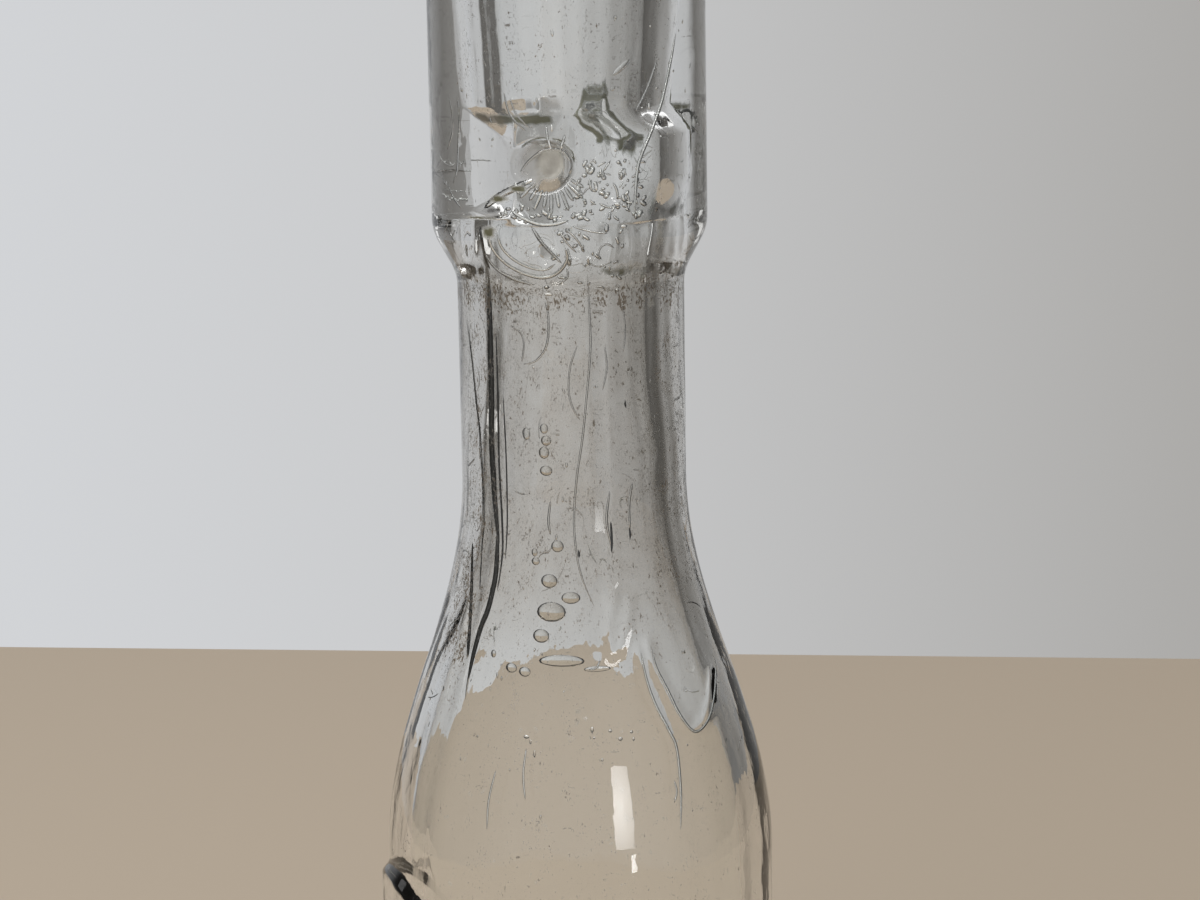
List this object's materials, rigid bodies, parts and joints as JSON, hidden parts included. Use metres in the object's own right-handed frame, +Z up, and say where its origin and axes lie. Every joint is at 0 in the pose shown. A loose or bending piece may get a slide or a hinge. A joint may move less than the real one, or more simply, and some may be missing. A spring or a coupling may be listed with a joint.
{
  "type": "milk bottle",
  "caption": "Thick clear glass milk bottle with a tall applied collar, a pinched dimpled throat and a waxed paper disc cap with a stapled pull tab.",
  "frame": {"origin": "centre of the ring that the bottle stands on", "axes": "+Z up along the bottle's axis, -Y towards the side that the picture shows"},
  "size_m": [0.0801, 0.0786, 0.285],
  "materials": {
    "glass": "clear, bubbled, slightly dirty",
    "waxed_paper": "waxed",
    "tab_paper": "matte",
    "staple_wire": "drawn wire"
  },
  "bodies": {
    "bottle": {"bottle_body": "glass", "applied_collar": "glass"},
    "cap": {"cap_disc": "waxed_paper", "tab_root": "tab_paper", "tab_staple": "staple_wire"},
    "pull_tab": {"cap_pull_tab": "tab_paper"}
  },
  "joints": [
    {"name": "cap_lift", "type": "slide", "parent": "bottle", "child": "cap", "axis": [0, 0, 1], "range_m": [0, 0.03]},
    {"name": "tab_fold", "type": "hinge", "parent": "cap", "child": "pull_tab", "pos_m": [0, 0.0045, 0.2813], "axis": [-1, 0, 0], "range_deg": [0, 110]}
  ]
}
